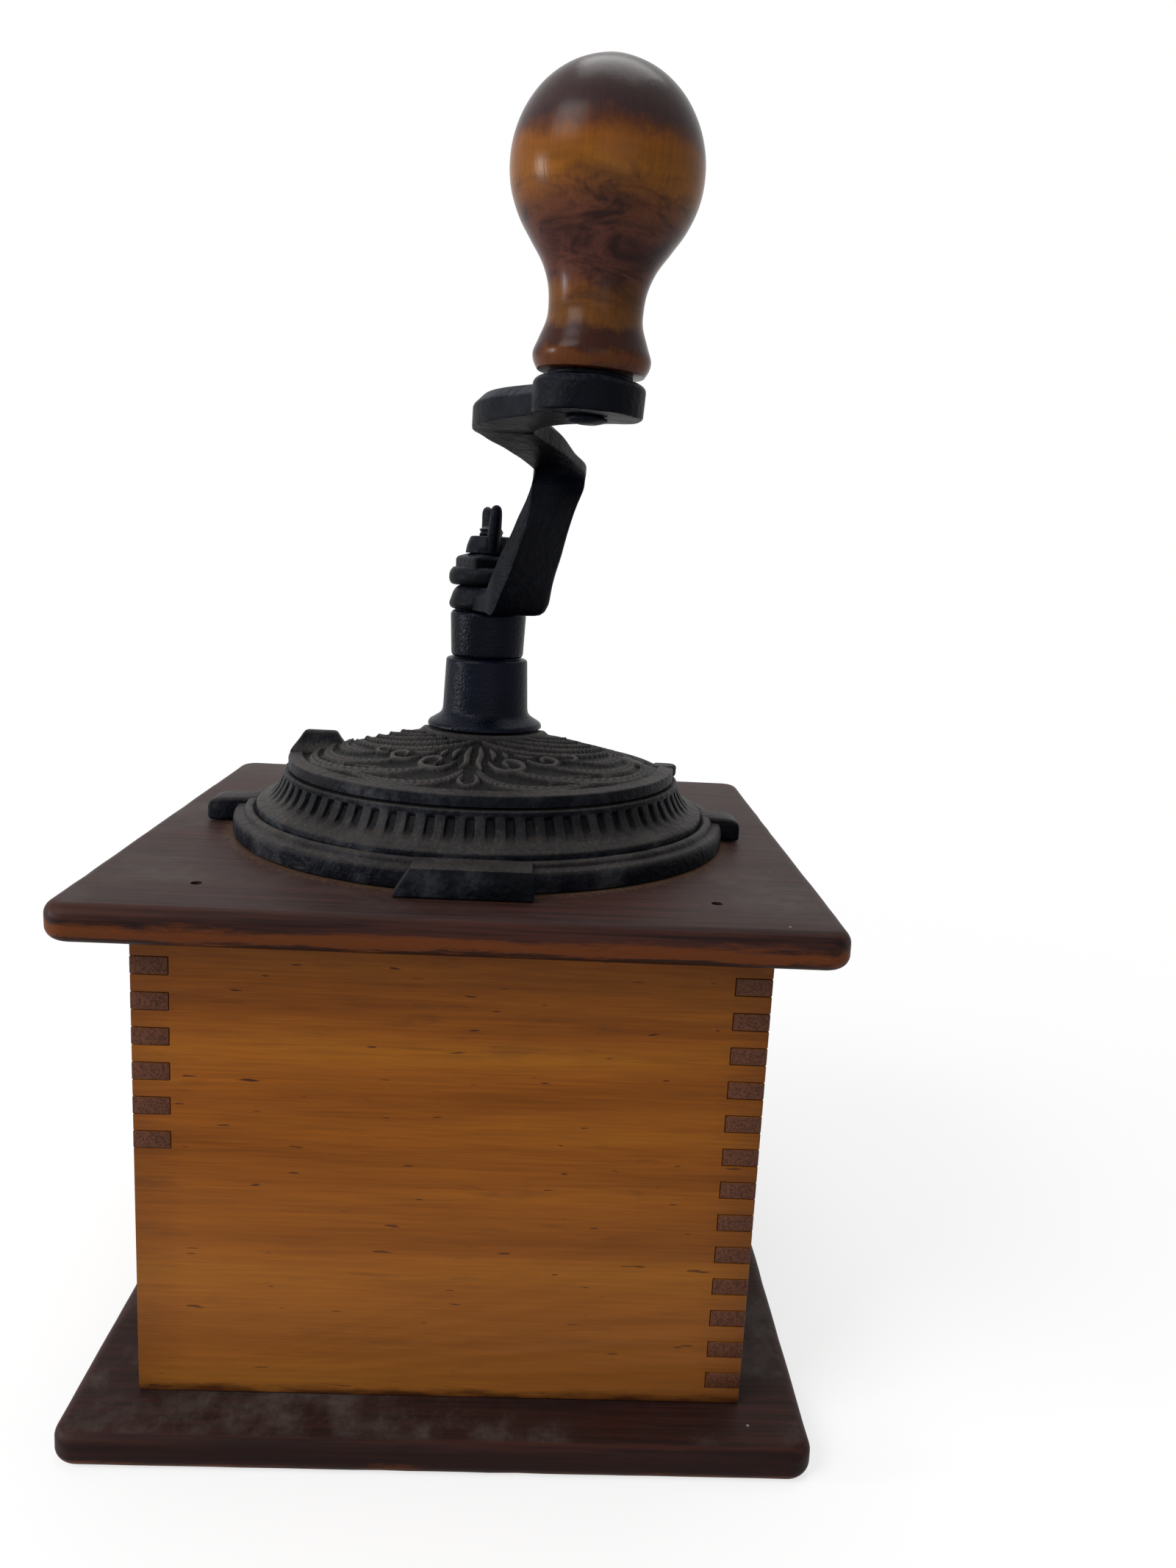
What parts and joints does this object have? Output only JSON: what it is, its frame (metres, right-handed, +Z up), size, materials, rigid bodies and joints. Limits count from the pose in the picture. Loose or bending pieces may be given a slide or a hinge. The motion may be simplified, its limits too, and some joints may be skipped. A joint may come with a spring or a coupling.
{
  "type": "box coffee grinder",
  "caption": "Hand coffee grinder: finger-jointed wooden case with a drawer, cast-iron hopper with a swivelling half lid, conical burrs and a serpentine crank with a turned knob.",
  "frame": {"origin": "middle of the underside of the base board", "axes": "+Z up, -Y the way the drawer opens, +X the right-hand side of the case with the drawer in front, towards which the crank points at rest"},
  "size_m": [0.227, 0.2, 0.3385],
  "materials": {
    "honey_pine": "aged honey varnish on softwood, satin",
    "stained_board": "dark worn stain, matt",
    "drawer_wood": "bare planed softwood",
    "knob_wood": "turned and varnished, glossy",
    "black_iron": "blackened casting, matt with dust in the recesses",
    "dark_steel": "darkened turned steel"
  },
  "bodies": {
    "case": {"back_panel": "honey_pine", "base_board": "stained_board", "base_board_screw_1": "dark_steel", "base_board_screw_2": "dark_steel", "base_board_screw_3": "dark_steel", "base_board_screw_4": "dark_steel", "bearing_bridge": "black_iron", "bridge_screw_1": "dark_steel", "bridge_screw_2": "dark_steel", "front_panel": "honey_pine", "hopper_bolt_1": "dark_steel", "hopper_bolt_2": "dark_steel", "hopper_bolt_3": "dark_steel", "hopper_bolt_4": "dark_steel", "hopper_bowl": "black_iron", "hopper_ring": "black_iron", "left_side_panel": "honey_pine", "lower_strap": "black_iron", "outer_burr": "dark_steel", "post_collar": "black_iron", "right_side_panel": "honey_pine", "strap_screw_1": "dark_steel", "strap_screw_2": "dark_steel", "top_board": "stained_board", "top_board_nail_1": "dark_steel", "top_board_nail_2": "dark_steel", "top_board_nail_3": "dark_steel", "top_board_nail_4": "dark_steel"},
    "cover": {"swivel_cover": "black_iron"},
    "crank": {"crank_arm": "black_iron", "crank_collar": "black_iron", "knob_pin": "dark_steel", "knob_washer": "dark_steel"},
    "knob": {"crank_knob": "knob_wood"},
    "adjuster": {"adjusting_nut": "black_iron"},
    "spindle": {"spindle": "dark_steel", "inner_burr": "dark_steel", "burr_pin": "dark_steel"},
    "wing_nut": {"wing_nut": "black_iron"},
    "drawer": {"drawer_back": "drawer_wood", "drawer_bottom": "drawer_wood", "drawer_brad_1": "dark_steel", "drawer_brad_2": "dark_steel", "drawer_brad_3": "dark_steel", "drawer_brad_4": "dark_steel", "drawer_front": "honey_pine", "drawer_knob": "knob_wood", "drawer_knob_screw": "dark_steel", "drawer_left_side": "drawer_wood", "drawer_right_side": "drawer_wood"}
  },
  "joints": [
    {"name": "crank_turn", "type": "hinge", "parent": "case", "child": "crank", "pos_m": [0, 0.0015, 0.2206], "axis": [0, 0, 1], "continuous": true},
    {"name": "knob_spin", "type": "hinge", "parent": "crank", "child": "knob", "pos_m": [0.10718, 0.02625, 0.26799], "axis": [-0.0086, 0.0374, 0.9993], "continuous": true},
    {"name": "adjusting_nut_turn", "type": "hinge", "parent": "crank", "child": "adjuster", "pos_m": [0, 0.0015, 0.2279], "axis": [0, 0, 1], "range_deg": [-540, 0]},
    {"name": "spindle_lift", "type": "slide", "parent": "crank", "child": "spindle", "axis": [0, 0, 1], "range_m": [0, 0.0024]},
    {"name": "wing_nut_turn", "type": "hinge", "parent": "spindle", "child": "wing_nut", "pos_m": [0, 0.0015, 0.2378], "axis": [0, 0, 1], "range_deg": [0, 180]},
    {"name": "cover_swivel", "type": "hinge", "parent": "case", "child": "cover", "pos_m": [0, 0.0015, 0.1708], "axis": [0, 0, 1], "range_deg": [-170, 0]},
    {"name": "drawer_slide", "type": "slide", "parent": "case", "child": "drawer", "axis": [0, -1, 0], "range_m": [0, 0.11]}
  ],
  "couplings": [
    {"joint": "adjusting_nut_turn", "follows": "spindle_lift", "rad_per_m": -3927}
  ]
}
